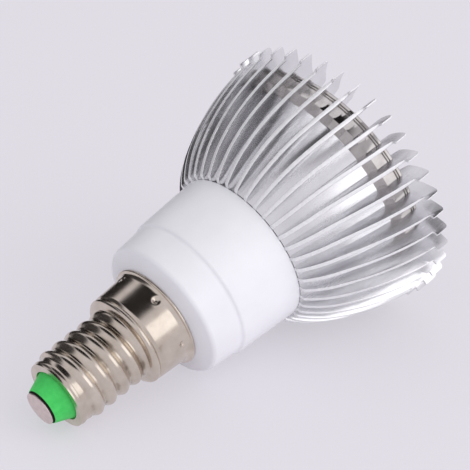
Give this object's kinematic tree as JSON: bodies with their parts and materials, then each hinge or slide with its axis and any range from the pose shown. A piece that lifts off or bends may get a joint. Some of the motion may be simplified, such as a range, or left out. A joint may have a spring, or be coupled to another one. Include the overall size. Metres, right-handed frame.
{
  "type": "led grow light bulb",
  "caption": "Screw-cap LED grow light bulb with a finned aluminium heat sink, a white neck, a nickel cap with a green insulator, and coloured emitters behind a clear lens.",
  "frame": {"origin": "centre of the plane of the fin noses, on the bulb's axis", "axes": "+Z along the axis from the light's face to the cap's contact, +X through the root of one fin"},
  "size_m": [0.0522, 0.0524, 0.0723],
  "materials": {
    "aluminium": "bright cast and turned",
    "clear_lens": "clear, polished",
    "white_board": "white solder mask",
    "screw_steel": "plain",
    "white_plastic": "satin",
    "nickel": "nickel plated",
    "green_insulator": "glossy",
    "contact_metal": "dull",
    "board_laminate": "matte",
    "ferrite": "matte",
    "copper_winding": "enamelled wire",
    "capacitor_sleeve": "sleeve",
    "chip_black": "matte",
    "resistor_body": "satin",
    "blue_lead": "insulated",
    "red_lead": "insulated",
    "black_lead": "insulated",
    "emitter_red": "clear resin over a red chip",
    "emitter_blue": "clear resin over a blue chip",
    "emitter_white": "phosphor",
    "emitter_far_red": "clear resin over a dark chip",
    "emitter_violet": "clear resin over a violet chip"
  },
  "bodies": {
    "root": {"board_screws": "screw_steel", "bridge_rectifier": "chip_black", "cap_insulator": "green_insulator", "cap_shell": "nickel", "centre_contact": "contact_metal", "driver_board": "board_laminate", "driver_chip": "chip_black", "front_lens": "clear_lens", "fuse_resistor": "resistor_body", "heat_sink": "aluminium", "input_capacitor": "capacitor_sleeve", "led_blue_1": "emitter_blue", "led_blue_2": "emitter_blue", "led_blue_3": "emitter_blue", "led_blue_4": "emitter_blue", "led_blue_5": "emitter_blue", "led_blue_6": "emitter_blue", "led_blue_7": "emitter_blue", "led_board": "white_board", "led_far_red_1": "emitter_far_red", "led_lead_minus": "black_lead", "led_lead_plus": "red_lead", "led_red_1": "emitter_red", "led_red_10": "emitter_red", "led_red_11": "emitter_red", "led_red_12": "emitter_red", "led_red_13": "emitter_red", "led_red_14": "emitter_red", "led_red_15": "emitter_red", "led_red_16": "emitter_red", "led_red_2": "emitter_red", "led_red_3": "emitter_red", "led_red_4": "emitter_red", "led_red_5": "emitter_red", "led_red_6": "emitter_red", "led_red_7": "emitter_red", "led_red_8": "emitter_red", "led_red_9": "emitter_red", "led_violet_1": "emitter_violet", "led_violet_2": "emitter_violet", "led_violet_3": "emitter_violet", "led_white_1": "emitter_white", "neck_housing": "white_plastic", "neutral_lead": "blue_lead", "output_capacitor": "capacitor_sleeve", "transformer_core": "ferrite", "transformer_winding": "copper_winding"}
  },
  "joints": []
}
